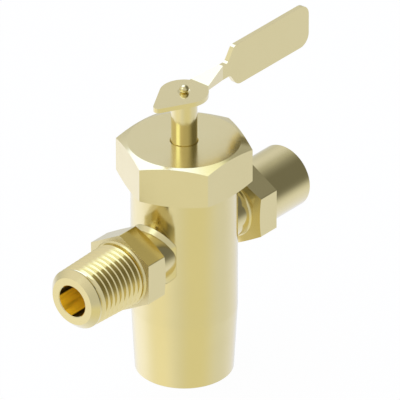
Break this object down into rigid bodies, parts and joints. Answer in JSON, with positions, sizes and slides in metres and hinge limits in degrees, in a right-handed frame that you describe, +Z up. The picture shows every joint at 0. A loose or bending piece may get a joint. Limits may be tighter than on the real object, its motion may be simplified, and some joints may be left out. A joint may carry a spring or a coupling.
{
  "type": "shut-off valve",
  "caption": "Inline quarter-turn brass shut-off valve with a round body, hexagon bonnet, flag lever, male tapered inlet and tapped outlet socket.",
  "frame": {"origin": "centre of the body's flat base", "axes": "+Z up along the stem's axis, +X along the flow from the male inlet to the outlet socket; the lever points along +X when open"},
  "size_m": [0.0772, 0.0254, 0.071],
  "materials": {
    "body_brass": "polished",
    "bonnet_brass": "polished",
    "fitting_brass": "polished",
    "stem_brass": "polished",
    "lever_brass": "polished",
    "rivet_brass": "polished",
    "ball_chrome": "mirror plated",
    "seat_plastic": "smooth moulded",
    "seal_rubber": "moulded",
    "gasket_fibre": "pressed fibre",
    "spring_steel": "bright"
  },
  "bodies": {
    "housing": {"body": "body_brass", "bonnet": "bonnet_brass", "bonnet_gasket": "gasket_fibre", "inlet_fitting": "fitting_brass", "outlet_fitting": "fitting_brass", "inlet_gasket": "gasket_fibre", "outlet_gasket": "gasket_fibre", "inlet_seat": "seat_plastic", "outlet_seat": "seat_plastic", "inlet_seat_spring": "spring_steel", "outlet_seat_spring": "spring_steel", "ball_bush": "seat_plastic", "lower_thrust_washer": "seat_plastic", "upper_thrust_washer": "seat_plastic", "stop_pin": "spring_steel"},
    "spindle": {"ball": "ball_chrome", "stem": "stem_brass", "lower_stem_seal": "seal_rubber", "upper_stem_seal": "seal_rubber", "lever": "lever_brass", "lever_rivet": "rivet_brass"}
  },
  "joints": [
    {"name": "lever_turn", "type": "hinge", "parent": "housing", "child": "spindle", "pos_m": [0, 0, 0.06], "axis": [0, 0, 1], "range_deg": [-90, 0]}
  ]
}
